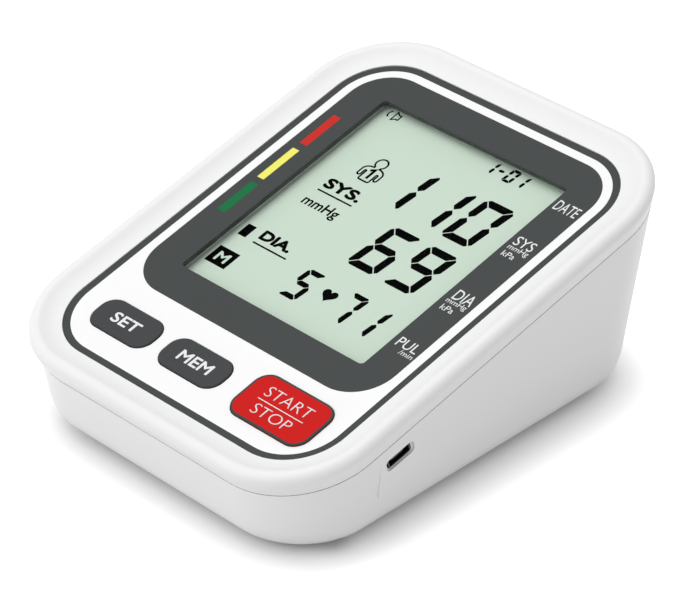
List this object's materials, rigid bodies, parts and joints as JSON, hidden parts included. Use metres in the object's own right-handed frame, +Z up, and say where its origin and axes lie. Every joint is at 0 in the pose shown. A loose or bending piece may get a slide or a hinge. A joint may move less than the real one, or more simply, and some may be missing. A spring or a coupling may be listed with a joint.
{
  "type": "upper arm blood pressure monitor",
  "caption": "White wedge-shaped table monitor with a sloping face, a large display window in a dark surround, dark and red keys, and sockets for air and power.",
  "frame": {"origin": "bottom centre of the feet, on the table under the middle of the case", "axes": "+X to the user's right, +Y to the back (the high end of the face), +Z up"},
  "size_m": [0.1128, 0.1388, 0.0639],
  "materials": {
    "white_case": "satin",
    "white_face": "satin",
    "dark_trim": "satin",
    "clear_lens": "polished",
    "display_green": "satin",
    "holder_white": "satin",
    "elastomer": "matte",
    "board_green": "satin",
    "black_plastic": "satin",
    "ivory_plastic": "satin",
    "dark_key": "satin",
    "red_key": "satin",
    "connector_steel": "satin",
    "socket_grey": "satin",
    "silicone": "satin",
    "valve_blue": "satin",
    "motor_steel": "satin",
    "cell_wrap": "satin",
    "wire": "satin",
    "foot_rubber": "matte",
    "screw_steel": "satin"
  },
  "bodies": {
    "case": {"lower_case": "white_case", "upper_cover": "white_case", "face_sheet": "white_face", "face_band": "dark_trim", "display_surround": "dark_trim", "display_lens": "clear_lens", "display_glass": "display_green", "display_holder": "holder_white", "display_connectors": "elastomer", "main_board": "board_green", "board_chips": "black_plastic", "buzzer": "black_plastic", "pressure_sensor": "ivory_plastic", "wire_connectors": "holder_white", "key_switches": "black_plastic", "usb_receptacle": "connector_steel", "cuff_socket": "socket_grey", "air_manifold": "holder_white", "socket_tube": "silicone", "pump_tube": "silicone", "valve_tube": "silicone", "sensor_tube": "silicone", "release_valve": "valve_blue", "pump_head": "black_plastic", "pump_motor": "motor_steel", "motor_sleeve": "elastomer", "pump_strap": "holder_white", "battery_cells": "cell_wrap", "battery_springs": "connector_steel", "battery_contacts": "connector_steel", "battery_leads": "wire", "pump_leads": "wire", "rubber_feet": "foot_rubber", "case_screws": "screw_steel", "board_screws": "screw_steel"},
    "set_key": {"set_key": "dark_key", "set_plunger": "ivory_plastic"},
    "memory_key": {"memory_key": "dark_key", "memory_plunger": "ivory_plastic"},
    "start_key": {"start_key": "red_key", "start_plunger": "ivory_plastic"},
    "battery_cover": {"battery_cover": "white_case"}
  },
  "joints": [
    {"name": "set_key_press", "type": "slide", "parent": "case", "child": "set_key", "axis": [0, 0.2672, -0.9636], "range_m": [0, 0.0005], "stiffness_N_per_m": 1500},
    {"name": "memory_key_press", "type": "slide", "parent": "case", "child": "memory_key", "axis": [0, 0.2672, -0.9636], "range_m": [0, 0.0005], "stiffness_N_per_m": 1500},
    {"name": "start_key_press", "type": "slide", "parent": "case", "child": "start_key", "axis": [0, 0.2672, -0.9636], "range_m": [0, 0.0005], "stiffness_N_per_m": 1500},
    {"name": "battery_cover_hinge", "type": "hinge", "parent": "case", "child": "battery_cover", "pos_m": [0, -0.02728, 0.003], "axis": [-1, 0, 0], "range_deg": [0, 75]}
  ]
}
